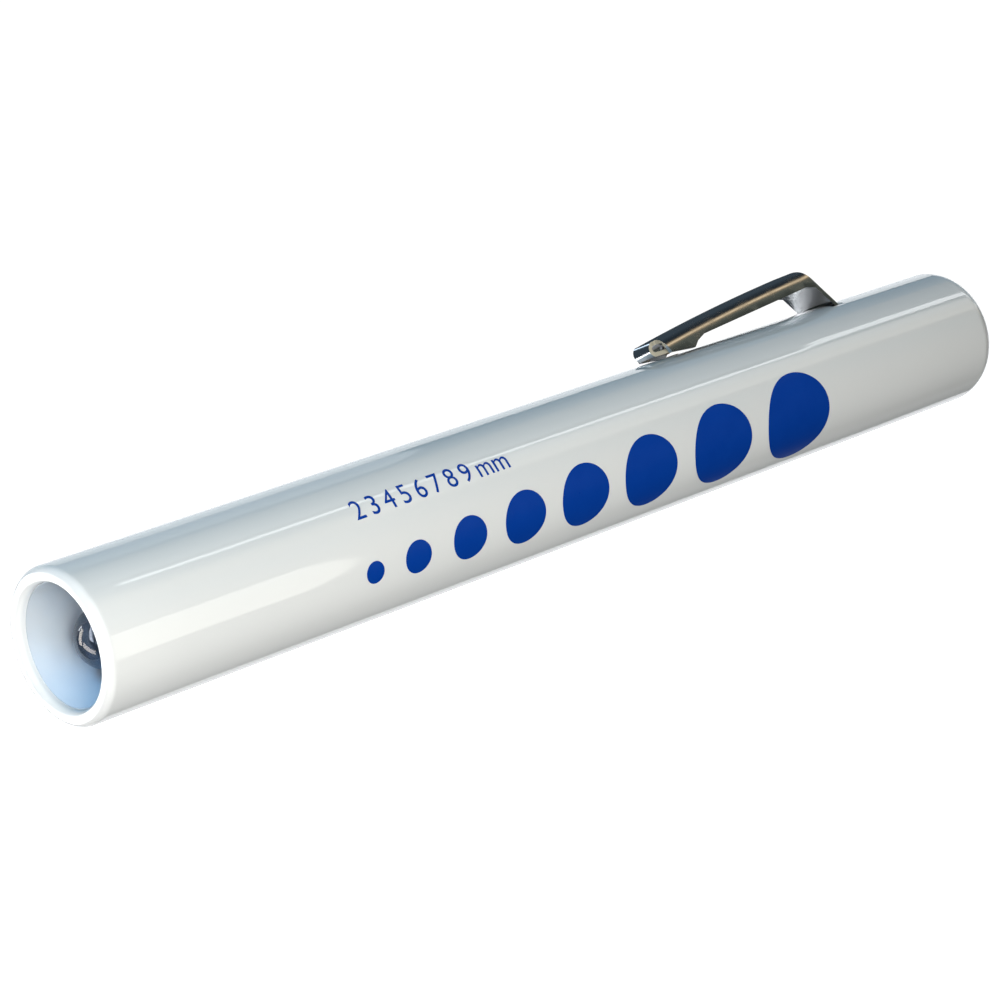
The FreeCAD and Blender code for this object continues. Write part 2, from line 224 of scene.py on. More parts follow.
def soften_edges(piece, width, angle):
    """Rounds every edge where the faces turn by more than that angle."""
    finish_with(piece, "BEVEL", width=width, segments=2, limit_method="ANGLE",
                angle_limit=math.radians(angle), use_clamp_overlap=True)


def turned(name, outline, steps=128, z=0.0, closed=True):
    """An outline of (x, radius) corners drawn out of one corner, then spun about the X direction."""
    piece = begin(name, bpy.ops.mesh.primitive_plane_add, size=1)
    with Bench(piece) as bench:
        bench.pick("VERT")
        bpy.ops.mesh.merge(type="CENTER")
        x, radius = outline[0]
        bpy.ops.transform.translate(value=(x, 0, z + radius))
        for next_x, next_radius in outline[1:]:
            bench.extrude((next_x - x, 0, next_radius - radius))
            x, radius = next_x, next_radius
        if closed:
            ends = [Vector((px, 0, z + r)) for px, r in (outline[0], outline[-1])]
            bench.pick("VERT", lambda v: min((v.co - end).length for end in ends) < 1e-5)
            bpy.ops.mesh.edge_face_add()
        bench.pick("EDGE")
        bpy.ops.mesh.spin(steps=steps, angle=2 * math.pi, center=(0, 0, z), axis=(1, 0, 0))
        bench.tidy()
    return piece


def hand_over(piece, body, slot, *nodes):
    """Brings a finished piece to metres, gives it its finish and ties it to the frame."""
    piece.scale = (MM, MM, MM)
    settle(piece)
    bpy.ops.object.shade_smooth_by_angle(angle=math.radians(SMOOTH_BELOW))
    piece.data.materials.clear()
    piece.data.materials.append(FINISHES[slot])
    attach(piece, body)
    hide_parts(*nodes)


# ---- finishes --------------------------------------------------------------------------------------


class Value:
    """A number that varies over a surface; arithmetic on it adds the maths nodes."""

    def __init__(self, finish, socket):
        self.finish = finish
        self.socket = socket

    def _with(self, operation, *terms):
        made = self.finish.node("ShaderNodeMath", {"operation": operation}, dict(enumerate(terms)))
        return made.value(0)

    def __add__(self, other):
        return self._with("ADD", self, other)

    def __radd__(self, other):
        return self._with("ADD", other, self)

    def __sub__(self, other):
        return self._with("SUBTRACT", self, other)

    def __rsub__(self, other):
        return self._with("SUBTRACT", other, self)

    def __mul__(self, other):
        return self._with("MULTIPLY", self, other)

    def __rmul__(self, other):
        return self._with("MULTIPLY", other, self)

    def __truediv__(self, other):
        return self._with("DIVIDE", self, other)

    def __neg__(self):
        return self._with("MULTIPLY", self, -1)

    def turn_from(self, other):
        return self._with("ARCTAN2", self, other)

    def above(self, edge, softness):
        """0 below the edge and 1 above it, with a soft step between."""
        stepped = self.finish.node("ShaderNodeMapRange", {"interpolation_type": "SMOOTHSTEP"},
                                   {"Value": self, "From Min": edge - softness, "From Max": edge + softness})
        return stepped.value("Result")


class Node:
    def __init__(self, finish, node):
        self.finish = finish
        self.node = node

    def value(self, name):
        return Value(self.finish, self.node.outputs[name])


class Finish:
    """One material: its nodes, and a Principled shader that carries the constants."""

    def __init__(self, name, **constants):
        self.material = bpy.data.materials.new(name)
        self.material.use_nodes = True
        self.tree = self.material.node_tree
        self.tree.nodes.clear()
        self.output = self.node("ShaderNodeOutputMaterial")
        self.shader = self.node("ShaderNodeBsdfPrincipled", {}, constants)
        self.feed(self.output, "Surface", self.shader.value("BSDF"))
        self.place = self.node("ShaderNodeTexCoord").value("Object")

    def node(self, kind, settings=None, inputs=None):
        node = self.tree.nodes.new(kind)
        for key, value in (settings or {}).items():
            if key == "stops":
                self._set_stops(node.color_ramp, value)
            else:
                setattr(node, key, value)
        made = Node(self, node)
        for key, value in (inputs or {}).items():
            self.feed(made, key, value)
        return made

    @staticmethod
    def _set_stops(ramp, stops):
        ramp.elements[0].position, ramp.elements[-1].position = stops[0][0], stops[-1][0]
        ramp.elements[0].color, ramp.elements[-1].color = (*stops[0][1], 1.0), (*stops[-1][1], 1.0)
        for position, colour in stops[1:-1]:
            ramp.elements.new(position).color = (*colour, 1.0)

    def feed(self, made, key, value):
        socket = made.node.inputs[key]
        if isinstance(value, Value):
            self.tree.links.new(value.socket, socket)
        elif isinstance(value, tuple) and socket.type == "RGBA":
            socket.default_value = (*value, 1.0)
        else:
            socket.default_value = value

    def stretched(self, scale):
        """Object coordinates in millimetres, stretched by a scale for each axis."""
        per_metre = tuple(part / MM for part in scale)
        mapped = self.node("ShaderNodeMapping", {}, {"Vector": self.place, "Scale": per_metre})
        return mapped.value("Vector")

    def noise(self, scale, detail=3.0, roughness=0.5):
        """Noise from 0 to 1 whose grain is about 1/scale millimetres along each axis."""
        made = self.node("ShaderNodeTexNoise", {}, {"Vector": self.stretched(scale), "Scale": 1.0,
                                                    "Detail": detail, "Roughness": roughness})
        return made.value("Fac")

    def scratches(self, scale, width=0.03):
        """Thin lines where a stretched noise crosses its middle."""
        wave = self.noise(scale, detail=2.0)
        from_middle = self.node("ShaderNodeMath", {"operation": "ABSOLUTE"}, {0: wave - 0.5}).value(0)
        return 1 - from_middle.above(width, width)

    def blend(self, share, first, second):
        made = self.node("ShaderNodeMix", {"data_type": "RGBA"}, {0: share, 6: first, 7: second})
        return Value(self, made.node.outputs[2])

    def colour(self, value):
        self.feed(self.shader, "Base Color", value)

    def roughness(self, value):
        self.feed(self.shader, "Roughness", value)

    def relief(self, height, depth):
        """Bump of that height, with depth in millimetres between its lowest and highest."""
        bump = self.node("ShaderNodeBump", {}, {"Height": height, "Strength": 1.0, "Distance": depth * MM})
        self.feed(self.shader, "Normal", bump.value("Normal"))


def white_plastic():
    """Glossy moulded plastic, very slightly uneven, with a few handling marks."""
    finish = Finish("white_plastic", **{"IOR": 1.5, "Specular IOR Level": 0.5})
    cloud = finish.noise((0.05, 0.12, 0.12))
    marks = finish.scratches((0.4, 6.0, 6.0), 0.012) * finish.noise((0.08, 0.2, 0.2)).above(0.62, 0.05)
    finish.colour(finish.blend(cloud, (0.77, 0.785, 0.80), (0.82, 0.825, 0.83)))
    finish.roughness(0.03 + 0.02 * cloud + 0.12 * marks)
    finish.relief(finish.noise((0.12, 0.9, 0.9), 2.0) + 0.04 * finish.noise((3.0, 3.0, 3.0)), 0.006)
    return finish.material


def holder_plastic():
    """Bright white plastic of the lamp's insert, a little translucent; its blue-grey colour is painted light
    and shade, standing in for sky-blue light and shade in the recess.
    """
    finish = Finish("holder_plastic", **{"IOR": 1.49, "Subsurface Weight": 0.15, "Subsurface Scale": 0.0015,
                                         "Subsurface Radius": (0.7, 0.9, 1.0)})
    cloud = finish.noise((0.35, 0.35, 0.35))
    turning = finish.noise((0.3, 4.0, 4.0), 2.0)
    # painted light and shade: the blue-grey stands in for sky-blue light and the recess's shade, not the
    # plastic's own white
    finish.colour(finish.blend(cloud, (0.62, 0.70, 0.80), (0.70, 0.76, 0.84)))
    finish.roughness(0.16 + 0.1 * cloud)
    finish.relief(turning, 0.006)
    return finish.material


def blue_ink():
    """Pad-printed ink: even in the middle, a little thinner and less glossy in places."""
    finish = Finish("blue_ink", **{"IOR": 1.46, "Specular IOR Level": 0.08})
    cloud = finish.noise((0.5, 0.5, 0.5))
    pin_holes = finish.noise((5.0, 5.0, 5.0), 2.0).above(0.74, 0.04)
    finish.colour(finish.blend(cloud * 0.6 + 0.25 * pin_holes, (0.001, 0.046, 0.35), (0.002, 0.060, 0.42)))
    finish.roughness(0.24 + 0.12 * cloud)
    finish.relief(finish.noise((4.0, 4.0, 4.0)), 0.003)
    return finish.material


def metal(name, light, dark, rough=0.2, grain=(0.6, 6.0, 6.0), depth=0.002, stain=0.5):
    """Plated or drawn metal with grain along one direction, thin scratches and dull patches."""
    finish = Finish(name, Metallic=1.0, IOR=2.2)
    drawn = finish.noise(grain, 4.0, 0.6)
    patches = finish.noise((0.6, 0.6, 0.6)).above(0.58, 0.12)
    scratched = finish.scratches(tuple(part * 1.7 for part in grain), 0.02)
    finish.colour(finish.blend(drawn * 0.4 + patches * stain, light, dark))
    finish.roughness(rough + 0.12 * patches + 0.08 * drawn + 0.06 * scratched)
    finish.relief(drawn + 0.3 * scratched, depth)
    return finish.material


def dull(name, light, dark, rough=0.6, grain=(2.0, 2.0, 2.0), depth=0.01, **constants):
    """Matt or half-matt stuff with a cloudy colour and a fine tooth."""
    finish = Finish(name, **constants)
    cloud = finish.noise(grain, 4.0)
    tooth = finish.noise(tuple(part * 4 for part in grain), 2.0)
    finish.colour(finish.blend(cloud, light, dark))
    finish.roughness(rough + 0.15 * tooth)
    finish.relief(cloud + 0.4 * tooth, depth)
    return finish.material


def clear_glass():
    """Lamp glass, drawn a little unevenly where the nose was melted round. Its dark blue-grey colour is
    painted shade, standing in for the dark inside of the lamp seen through the clear glass.
    """
    # painted shade: the dark blue-grey base colour stands in for the lamp's dark inside seen through the
    # glass
    finish = Finish("clear_glass", **{"Base Color": (0.22, 0.27, 0.37), "IOR": 1.5,
                                      "Transmission Weight": 0.65})
    finish.roughness(0.01 + 0.03 * finish.noise((0.8, 0.8, 0.8)).above(0.6, 0.1))
    finish.relief(finish.noise((0.7, 0.5, 0.5), 1.0), 0.02)
    return finish.material


FINISHES = {
    "white_plastic": white_plastic(),
    "holder_plastic": holder_plastic(),
    "blue_ink": blue_ink(),
    "clear_glass": clear_glass(),
    "spring_steel": metal("spring_steel", (0.80, 0.81, 0.83), (0.62, 0.63, 0.65), rough=0.1, stain=0.2),
    "brass": metal("brass", (0.86, 0.62, 0.28), (0.62, 0.40, 0.16), rough=0.22),
    "nickel": metal("nickel", (0.74, 0.71, 0.66), (0.52, 0.49, 0.45), rough=0.24),
    "tungsten": metal("tungsten", (0.35, 0.34, 0.33), (0.2, 0.19, 0.19), rough=0.4, grain=(9.0, 9.0, 9.0)),
    "lead_wire": metal("lead_wire", (0.72, 0.66, 0.6), (0.45, 0.38, 0.32), rough=0.3, grain=(2.0, 9.0, 9.0)),
    "solder": metal("solder", (0.66, 0.67, 0.69), (0.42, 0.43, 0.45), rough=0.38, grain=(3.0, 3.0, 3.0)),
    # cut_edge: its pale beige is a painted highlight on the clip's cut edges, on top of a matt bare-steel
    # look
    "cut_edge": dull("cut_edge", (0.72, 0.66, 0.52), (0.55, 0.50, 0.40), rough=0.35, depth=0.004),
    "steel_can": metal("steel_can", (0.70, 0.70, 0.71), (0.5, 0.5, 0.51), rough=0.26),
    "cement": dull("cement", (0.42, 0.40, 0.36), (0.30, 0.28, 0.24), rough=0.8),
    "bead_glass": dull("bead_glass", (0.18, 0.24, 0.34), (0.10, 0.15, 0.24), rough=0.1, depth=0.004,
                       IOR=1.52),
    "black_glass": dull("black_glass", (0.012, 0.012, 0.014), (0.03, 0.03, 0.035), rough=0.12, depth=0.004),
    "jacket": dull("jacket", (0.045, 0.05, 0.06), (0.10, 0.11, 0.12), rough=0.3, depth=0.003),
    "cell_mass": dull("cell_mass", (0.06, 0.06, 0.06), (0.12, 0.115, 0.11), rough=0.85, depth=0.03),
    "nylon": dull("nylon", (0.72, 0.70, 0.64), (0.62, 0.60, 0.55), rough=0.4, depth=0.005),
}

# ---- the CAD's own pieces --------------------------------------------------------------------------

for part in frame["record"]["subparts"]:
    kept = frame["nodes"][part["node"]].data.materials
    kept.clear()
    kept.append(FINISHES[part["material_slot"]])

# ---- barrel ----------------------------------------------------------------------------------------


def barrel_shell():
    shell = rod("barrel_shell", BARREL_R, (0, LENGTH), steps=256)
    with Bench(shell) as bench:
        bench.pick("FACE", lambda f: f.normal.x < -0.9)
        bpy.ops.mesh.inset(thickness=BARREL_R - BORE_R, depth=0)
        bench.pick("FACE", lambda f: f.normal.x < -0.9 and f.calc_center_median().yz.length < 1)
        bench.extrude((LENGTH - REAR_WALL, 0, 0))
        rims = ((BARREL_R, 0, RIM_OUTER_ROUND, 10), (BORE_R, 0, RIM_INNER_ROUND, 8),
                (BARREL_R, LENGTH, REAR_ROUND, 18))
        for radius, x, round_r, segments in rims:
            bench.pick("EDGE", lambda e: all(abs(v.co.x - x) < 0.01 and abs(v.co.yz.length - radius) < 0.05
                                             for v in e.verts))
            bench.bevel(round_r, segments)
        for x in WALL_RINGS:
            bench.slice((x, 0, 0), (1, 0, 0))
    tools = [
        block("strip_groove", (FLANGE_X - 0.3, STRIP_HIGH.x + 0.4), STRIP_HIGH.y + 0.1,
              (4.5, STRIP_HIGH.z + 0.05)),
        block("tail_groove", (SLOT_X[0] + 0.25, LENGTH - REAR_WALL), CLIP_HALF + 0.1,
              (4.0, TAIL_HIGH.z + 0.05)),
        block("leg_slot", SLOT_X, CLIP_HALF + 0.12, (4.5, 8.0)),
        stud("rivet_hole", RIVET_SHANK_R + 0.02, (4, 8), SWITCH_X),
        stud("rivet_seat", RIVET_R + 0.03, (RIVET_SEAT_Z - 0.02, 8), SWITCH_X),
    ]
    combine(shell, "DIFFERENCE", *tools)
    return shell


def wrap_round(sheet, span, angle):
    """Bends a flat print, drawn at y = 0 with z running round the wall, onto the barrel at that angle."""
    radius = BARREL_R + INK_LIFT
    finish_with(sheet, "SIMPLE_DEFORM", deform_method="BEND", deform_axis="X", angle=span / radius)
    sheet.location = (0, -radius, 0)
    settle(sheet)
    sheet.rotation_euler = (math.radians(angle - 90), 0, 0)
    settle(sheet)


def thicken_print(bench, reach, step=0.35):
    """Gives a flat print its thickness and slices it, so that it can bend round the wall."""
    bench.pick("FACE")
    bench.extrude((0, -INK_THICKNESS, 0))
    bench.pick("FACE")
    bpy.ops.mesh.normals_make_consistent(inside=False)
    for index in range(-int(reach / step), int(reach / step) + 1):
        bench.slice((0, 0, index * step), (0, 0, 1))


def gauge_spots():
    """Round spots of 2 to 9 mm, true to size along the wall."""
    spots = []
    for diameter, x in DOTS:
        spot = begin("gauge_spots", bpy.ops.mesh.primitive_circle_add, vertices=128, radius=diameter / 2,
                     fill_type="NGON", location=(x, 0, 0), rotation=(math.pi / 2, 0, 0))
        with Bench(spot) as bench:
            thicken_print(bench, diameter / 2)
        spots.append(spot)
    for spot in spots:
        spot.select_set(True)
    bpy.context.view_layer.objects.active = spots[0]
    bpy.ops.object.join()
    wrap_round(spots[0], DOTS[-1][0], DOT_ANGLE)
    return spots[0]


def scale_legend():
    """The gauge's figures and their unit, printed in a row above the spots."""
    legend = begin_text("scale_legend", "2 3 4 5 6 7 8 9 mm")
    low, high = corners(legend)
    legend.location = (-low.x, 0, -(low.z + high.z) / 2)
    settle(legend)
    legend.scale = ((LEGEND_X[1] - LEGEND_X[0]) / (high.x - low.x), 1, LEGEND_HEIGHT / (high.z - low.z))
    settle(legend)
    legend.location = (LEGEND_X[0], 0, 0)
    settle(legend)
    with Bench(legend) as bench:
        thicken_print(bench, LEGEND_HEIGHT / 2, 0.3)
    wrap_round(legend, LEGEND_HEIGHT, LEGEND_ANGLE)
    return legend


def begin_text(name, words):
    bpy.ops.object.select_all(action="DESELECT")
    bpy.ops.object.text_add(rotation=(math.pi / 2, 0, 0))
    lettering = bpy.context.active_object
    lettering.name = name
    lettering.data.body = words
    lettering.data.size = 3.0
    lettering.data.resolution_u = 8
    lettering.data.space_word = 0.75
    bpy.ops.object.convert(target="MESH")
    lettering = bpy.context.active_object
    settle(lettering)
    with Bench(lettering) as bench:
        bench.tidy(0.001)
    return lettering


def corners(piece):
    points = [v.co for v in piece.data.vertices]
    return (Vector(min(p[i] for p in points) for i in range(3)),
            Vector(max(p[i] for p in points) for i in range(3)))


# ---- lamp ------------------------------------------------------------------------------------------


def lamp_well():
    """The insert: a cone in front, a lip round the lamp, and a skirt behind."""
    front, back = HOLDER_LOW.x, HOLDER_HIGH.x
    lip_r = LENS_R + LAMP_CLEARANCE
    floor_r = lip_r - LAMP_Z + 0.1
    well = turned("lamp_well", [(front, HOLDER_R - HOLDER_LAND), (front, HOLDER_R), (back, HOLDER_R),
                                (back, 0), (HOLDER_FLOOR_X, 0), (HOLDER_FLOOR_X, floor_r)], steps=192)
    combine(well, "DIFFERENCE",
            rod("lip_bore", lip_r, (0, back + 1), LAMP_Z),
            rod("cup_bore", LENS_R + CUP_ROOM, (CUP_X - 0.05, back + 1), LAMP_Z),
            rod("flange_bore", FLANGE_BORE_R, (FLANGE_X, back + 1), LAMP_Z),
            block("strip_way", (FLANGE_X, back + 1), STRIP_HIGH.y + 0.15, (3.0, 7.0)))
    return well


def arc(centre_x, radius, start, end, steps):
    """Corners along an arc about a point on the lamp's axis; 0 degrees points to the light opening."""
    turns = [math.radians(start + (end - start) * step / steps) for step in range(steps + 1)]
    return [(centre_x - radius * math.cos(turn), radius * math.sin(turn)) for turn in turns]


def lens_bulb():
    """Lens-end glass: a thick round nose on a thin tube."""
    inner_r = LENS_R - GLASS_WALL
    outside = arc(LENS_X, LENS_R, 0, 90, 28) + [(GLASS_HIGH.x, LENS_R)]
    inside = [(GLASS_HIGH.x, inner_r)] + arc(LENS_X + LENS_DEPTH, inner_r, 90, 0, 24)
    return turned("lens_bulb", outside + inside, steps=128, z=LAMP_Z, closed=False)


def switch_rivet():
    """Brass rivet that the clip's tip presses on."""
    rivet = stud("switch_rivet", RIVET_R, (RIVET_SEAT_Z, RIVET_HIGH.z), SWITCH_X, 96)
    with Bench(rivet) as bench:
        bench.pick("EDGE", lambda e: all(v.co.z > RIVET_HIGH.z - 0.01 for v in e.verts))
        bench.bevel(RIVET_EDGE_ROUND, 6)
        bench.pick("FACE", lambda f: f.normal.z < -0.9)
        bpy.ops.mesh.inset(thickness=RIVET_R - RIVET_SHANK_R, depth=0)
        middle = Vector((SWITCH_X, 0))
        bench.pick("FACE", lambda f: f.normal.z < -0.9 and (f.calc_center_median().xy - middle).length < 0.1)
        bench.extrude((0, 0, RIVET_LOW.z - RIVET_SEAT_Z))
    return rivet


# ---- pocket clip -----------------------------------------------------------------------------------


def circle_through(points):
    (ax, ay), (bx, by), (cx, cy) = points
    d = 2 * (ax * (by - cy) + bx * (cy - ay) + cx * (ay - by))
    a2, b2, c2 = ax * ax + ay * ay, bx * bx + by * by, cx * cx + cy * cy
    ux = (a2 * (by - cy) + b2 * (cy - ay) + c2 * (ay - by)) / d
    uy = (a2 * (cx - bx) + b2 * (ax - cx) + c2 * (bx - ax)) / d
    return ux, uy, math.hypot(ax - ux, ay - uy)


CROWN_X, CROWN_Z, CROWN_R = circle_through(CROWN)
LEG_SLOPE = (LEG_FOOT[0] - LEG_TOP[0]) / (LEG_FOOT[1] - LEG_TOP[1])
LEG_RUN = math.hypot(1, LEG_SLOPE)


def leg_x(z, behind=0.0):
    return LEG_TOP[0] + (z - LEG_TOP[1]) * LEG_SLOPE + behind * LEG_RUN


def bend_outline(inset):
    """Corners of the bend from the arm's top to the leg's back, and the leg's line on down."""
    radius = BEND_R - inset
    behind = CLIP_SHEET - inset
    leg_normal = Vector((1, -LEG_SLOPE)) / LEG_RUN
    line = Vector((leg_x(0, behind), 0)) - leg_normal * radius
    along = Vector((LEG_SLOPE, 1)) / LEG_RUN
    crown = Vector((CROWN_X, CROWN_Z - inset))
    reach = line - crown
    half = reach.dot(along)
    step = -half + math.sqrt(half * half - reach.length_squared + (CROWN_R - radius) ** 2)
    centre = line + along * step
    start = math.atan2(*reversed(centre - crown))
    end = math.atan2(leg_normal.y, leg_normal.x)
    turns = [start + (end - start) * index / 14 for index in range(15)]
    return [(centre.x + radius * math.cos(turn), centre.y + radius * math.sin(turn)) for turn in turns]


def side_plate(name, corners_xz, y_half):
    """A flat outline of (x, z) corners made into a plate across y = 0."""
    plate = begin(name, bpy.ops.mesh.primitive_circle_add, vertices=len(corners_xz), radius=1,
                  fill_type="NGON")
    with Bench(plate) as bench:
        mesh = bmesh.from_edit_mesh(plate.data)
        mesh.verts.ensure_lookup_table()
        for vertex, (x, z) in zip(mesh.verts, corners_xz):
            vertex.co = (x, -y_half, z)
        bmesh.update_edit_mesh(plate.data)
        bench.pick("FACE")
        bench.extrude((0, 2 * y_half, 0))
        bench.pick("FACE")
        bpy.ops.mesh.normals_make_consistent(inside=False)
    return plate


def bent_bar(name, inset, front_x):
    """Bar under the arm's arched top and ahead of the leg's back, inset on every side but the front."""
    y_half = CLIP_HALF - inset
    bend = bend_outline(inset)
    bar = block(name, (front_x, 101.0), y_half, (4.0, 12.0))
    stations = [front_x + (bend[0][0] - front_x) * index / 20 for index in range(1, 21)]
    stations += [96.0, 98.0, 99.5]
    with Bench(bar) as bench:
        for x in stations:
            bench.slice((x, 0, 0), (1, 0, 0))
        mesh = bmesh.from_edit_mesh(bar.data)
        for vertex in mesh.verts:
            if vertex.co.z > 11:
                vertex.co.z = CROWN_Z - inset + math.sqrt(CROWN_R ** 2 - (vertex.co.x - CROWN_X) ** 2)
        bmesh.update_edit_mesh(bar.data)
        bench.pick("EDGE", lambda e: all(v.co.z > 8 and abs(abs(v.co.y) - y_half) < 1e-4 for v in e.verts)
                   and abs(e.verts[0].co.x - e.verts[1].co.x) > 0.01)
        bench.bevel(SHOULDER_R - inset, 12)
    foot_x = leg_x(2.0, CLIP_SHEET - inset)
    behind = bend + [(foot_x, 2.0), (104, 2.0), (104, 14), (bend[0][0], 14)]
    combine(bar, "DIFFERENCE", side_plate("behind_the_leg", behind, 6))
    return bar


def clip_arm():
    """Spring clip: rounded channel, front lugs, rolled tip with its tongue, and the leg into the slot."""
    clip = bent_bar("clip_arm", 0.0, CROWN[0][0])
    combine(clip, "DIFFERENCE", bent_bar("clip_hollow", CLIP_SHEET, CROWN[0][0] - 1))
    lug = [(LUG_FRONT_X, 9.6), (LUG_FRONT_X, 8.2), (73.9, 7.08), (77.1, 6.80), (77.75, 7.35), (78.8, 7.77)]
    flange_end = [(94.6, 8.98), (leg_x(8.7), 8.7)]
    root = [(leg_x(LEG_ROOT_Z), LEG_ROOT_Z), (leg_x(LEG_ROOT_Z, CLIP_SHEET), LEG_ROOT_Z)]
    over_the_top = [(leg_x(9.0, CLIP_SHEET + 1.0), 9.0), (97.0, 12.0), (LUG_FRONT_X, 12.0)]
    trim = side_plate("press_trim", lug + flange_end + root + over_the_top, 2 * CLIP_HALF)
    combine(trim, "UNION", block("nose_web", (72.6, LUG_FRONT_X + 0.5), WEB_HALF, (8.0, 9.6)))
    combine(clip, "INTERSECT", trim)
    combine(clip, "UNION", rolled_tip())
    soften_edges(clip, PRESSED_EDGE_ROUND, 50)
    return clip


def paint_highlight_on_cut_edges(arm):
    """The cut edges at the sides of the rolled tip stay pale and matt: matt like bare cut steel, and pale
    beige as a painted highlight, standing in for the light these edges catch.
    """
    arm.data.materials.append(FINISHES["cut_edge"])
    for face in arm.data.polygons:
        middle = face.center / MM
        on_side = abs(face.normal.y) > 0.9 and abs(middle.y) < WEB_HALF + 0.1
        if on_side and middle.x < TONGUE_END_X:
            face.material_index = 1


def rolled_tip():
    """The tip rolled under, the tongue that returns below the arm, and its contact dimple."""
    low = HOOK_Z - HOOK_R
    tip = block("rolled_tip", (HOOK_X, TONGUE_END_X), WEB_HALF, (low, low + CLIP_SHEET))
    with Bench(tip) as bench:
        bench.pick("FACE", lambda f: f.normal.x < -0.9)
        bpy.ops.mesh.spin(steps=16, angle=math.pi, center=(HOOK_X, 0, HOOK_Z), axis=(0, -1, 0))
        bench.tidy()
        bench.pick("EDGE", lambda e: all(v.co.x > TONGUE_END_X - 0.01 for v in e.verts)
                   and abs(e.verts[0].co.y - e.verts[1].co.y) < 0.01)
        bench.bevel(TONGUE_END_ROUND, 6)
    dimple = begin("dimple", bpy.ops.mesh.primitive_uv_sphere_add, segments=32, ring_count=24,
                   radius=DIMPLE_R, location=(SWITCH_X, 0, low + 0.5))
    combine(tip, "UNION", dimple)
    return tip


# ---- pieces on their bodies ------------------------------------------------------------------------

hand_over(barrel_shell(), "barrel", "white_plastic", "barrel")
hand_over(gauge_spots(), "barrel", "blue_ink", "gauge_dots")
hand_over(scale_legend(), "barrel", "blue_ink")
hand_over(lamp_well(), "barrel", "holder_plastic", "lamp_holder")
hand_over(lens_bulb(), "barrel", "clear_glass", "lamp_glass")
hand_over(switch_rivet(), "barrel", "brass", "contact_rivet")
arm = clip_arm()
hand_over(arm, "clip", "spring_steel", "pocket_clip")
paint_highlight_on_cut_edges(arm)

# ---- camera, floor and light -----------------------------------------------------------------------

# Places and sizes in this part are in metres.
CAMERA_PLACE = (-0.13234, -0.21105, 0.0)
CAMERA_RIGHT = Vector((0.7137, -0.6156, -0.3341))
CAMERA_UP = Vector((0.2548, -0.2161, 0.9425))
CAMERA_FORWARD = Vector((0.6524, 0.7579, -0.0026))
FOCAL_LENGTH = 110.70       # millimetres, for a sensor 36 mm wide


def camera():
    lens = bpy.data.cameras.new("camera")
    lens.lens = FOCAL_LENGTH
    lens.sensor_width = 36.0
    lens.clip_start = 0.01
    lens.clip_end = 20.0
    view = bpy.data.objects.new("camera", lens)
    bpy.context.scene.collection.objects.link(view)
    turn = Matrix((CAMERA_RIGHT, CAMERA_UP, -CAMERA_FORWARD)).transposed().to_4x4()
    view.matrix_world = Matrix.Translation(CAMERA_PLACE) @ turn
    bpy.context.scene.camera = view


def unlit(name, glow, strength=1.0):
    """A surface that gives off light; glow is a colour or a varying one."""
    finish = Finish(name)
    emission = finish.node("ShaderNodeEmission", {}, {"Strength": strength})
    finish.feed(emission, "Color", glow(finish) if callable(glow) else glow)
    finish.feed(finish.output, "Surface", emission.value("Emission"))
    return finish.material


def seen_by(piece, camera=False, glossy=False):
    """Staging that shows only to the camera or only in mirrored surfaces, and casts no shadow."""
    piece.visible_camera = camera
    piece.visible_glossy = glossy
    piece.visible_diffuse = piece.visible_transmission = piece.visible_shadow = False


MID_BARREL = (0.06, 0, 0)
REAR_END = (0.12, 0, 0)
STRIP_DISTANCE = 0.5
TENT_RADIUS = 0.6
BACKDROP_RADIUS = 4.0
FLOOR_SIZE = 7.0
FLOOR_GAP = 0.00005         # the floor lies this far under the barrel

BEIGE = (1.0, 0.78, 0.5)
OLIVE = (0.9, 1.0, 0.85)
WARM = (1.0, 0.985, 0.93)
CREAM = (1.0, 0.99, 0.9)
NEUTRAL = (0.97, 0.99, 1.0)
COOL = (0.55, 0.78, 1.0)
DEEP_SKY = (0.2, 0.55, 1.0)
LAMPLIGHT = (1.0, 0.99, 0.98)
AMBER = (1.0, 0.9, 0.78)

# The tent's glow by angle: angle round the barrel, power, colour.
TENT = (
    (-180, 0.07, COOL), (-133, 0.03, COOL), (-60, 0.05, OLIVE), (-10, 0.06, OLIVE), (0, 0.08, OLIVE),
    (10, 0.12, OLIVE), (20, 0.25, BEIGE), (27, 0.75, BEIGE), (33, 0.9, BEIGE), (39, 0.6, BEIGE),
    (46, 0.15, BEIGE), (54, 0.04, COOL), (62, 0.03, COOL), (80, 0.05, COOL), (100, 0.08, COOL),
    (124, 0.08, COOL), (150, 0.07, COOL), (180, 0.07, COOL),
)
# Bands mirrored in the barrel: angle round it and width in degrees, radiance, colour, start and end along it.
BARREL_STRIPS = (
    (38, 24, 0.8, WARM, 0.42, 3.0), (46, 12, 0.6, WARM, 0.42, 3.0),
    (55, 4, 4.5, NEUTRAL, 0.30, 0.62), (60, 8, 4.2, NEUTRAL, 0.62, 3.0),
    (80, 36, 0.6, NEUTRAL, -0.4, 3.0),
    (114, 32, 0.5, COOL, -0.4, 3.0), (114, 32, 1.2, NEUTRAL, -0.4, 0.58), (119, 28, 0.7, NEUTRAL, -0.4, 0.45),
    (142, 20, 1.6, NEUTRAL, -0.4, 3.0), (142, 20, 1.6, NEUTRAL, 0.45, 0.66),
    (186, 70, 1.3, NEUTRAL, -0.4, 3.0), (236, 30, 0.3, NEUTRAL, -0.4, 3.0),
    (-25, 34, 2.6, CREAM, 0.24, 0.41),
)


